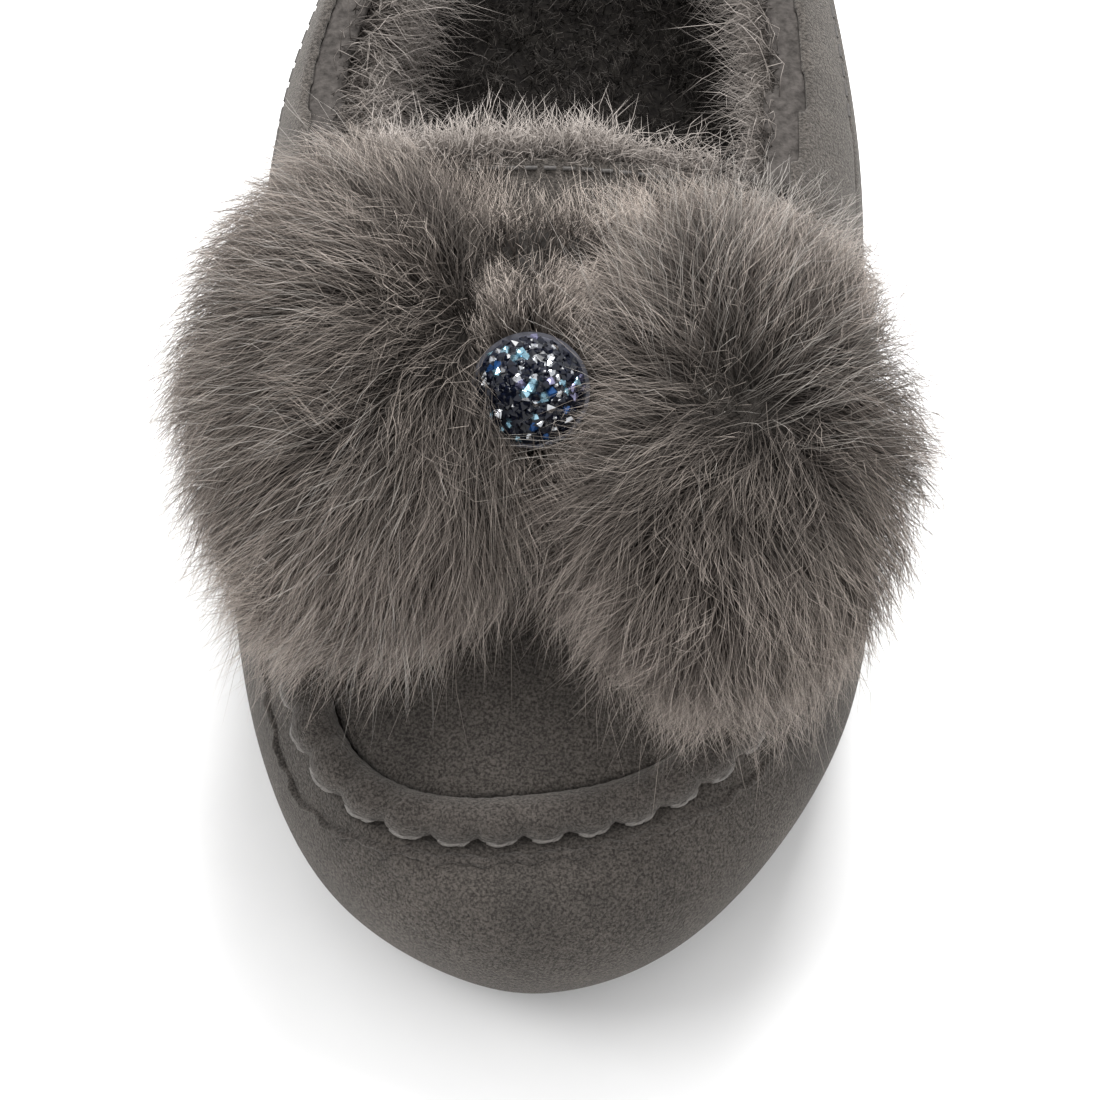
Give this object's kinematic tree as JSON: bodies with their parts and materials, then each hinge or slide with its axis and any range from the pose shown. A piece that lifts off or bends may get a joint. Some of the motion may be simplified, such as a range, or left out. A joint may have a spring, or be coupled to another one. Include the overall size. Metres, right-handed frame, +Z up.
{
  "type": "fluffy house slipper",
  "caption": "Left closed-back moccasin house slipper in grey suede with pile lining, a rubber sole, a fluffy two-lobed fur bow on the vamp and a domed crystal brooch.",
  "frame": {"origin": "on the ground, under the middle of the slipper's length, on the outsole's flat underside", "axes": "+Z up, -Y towards the toe, +Y towards the heel, +X towards the outer (little toe) side of the left foot"},
  "size_m": [0.116, 0.2675, 0.088],
  "materials": {
    "suede": "warm dark grey suede with a short nap",
    "lining_pile": "curly grey pile, about 8 mm deep",
    "fur": "long brown-grey fur with pale tips",
    "knit_cloth": "knitted backing of the fur fabric",
    "felt": "dense felt",
    "sole_rubber": "matt dark rubber with a shallow chevron tread",
    "fibre_board": "pressed fibre board",
    "foam": "open-cell foam sheet",
    "counter_sheet": "moulded thermoplastic stiffener sheet",
    "hand_thread": "waxed thick grey thread",
    "machine_thread": "dark grey polyester thread",
    "brooch_metal": "dark plated steel",
    "brooch_resin": "black setting resin",
    "crystal": "pointed cut crystals in navy, blue, aqua and silver"
  },
  "bodies": {
    "root": {"apron": "suede", "apron_roll": "suede", "apron_stitches": "hand_thread", "bow_backing": "felt", "bow_knot": "fur", "bow_left_fur": "fur", "bow_left_strip": "knit_cloth", "bow_right_fur": "fur", "bow_right_strip": "knit_cloth", "bow_stitches": "machine_thread", "brooch_crystals": "crystal", "brooch_cup": "brooch_metal", "brooch_post": "brooch_metal", "brooch_putty": "brooch_resin", "brooch_washer": "brooch_metal", "collar_band": "suede", "collar_lining": "lining_pile", "collar_stitches": "machine_thread", "cushion_foam": "foam", "footbed_pile": "lining_pile", "heel_counter": "counter_sheet", "heel_strip": "suede", "insole_board": "fibre_board", "outsole": "sole_rubber", "quarter_lateral": "suede", "quarter_medial": "suede", "throat_stitches": "machine_thread", "toe_wrap": "suede", "vamp_lining": "lining_pile"}
  },
  "joints": []
}
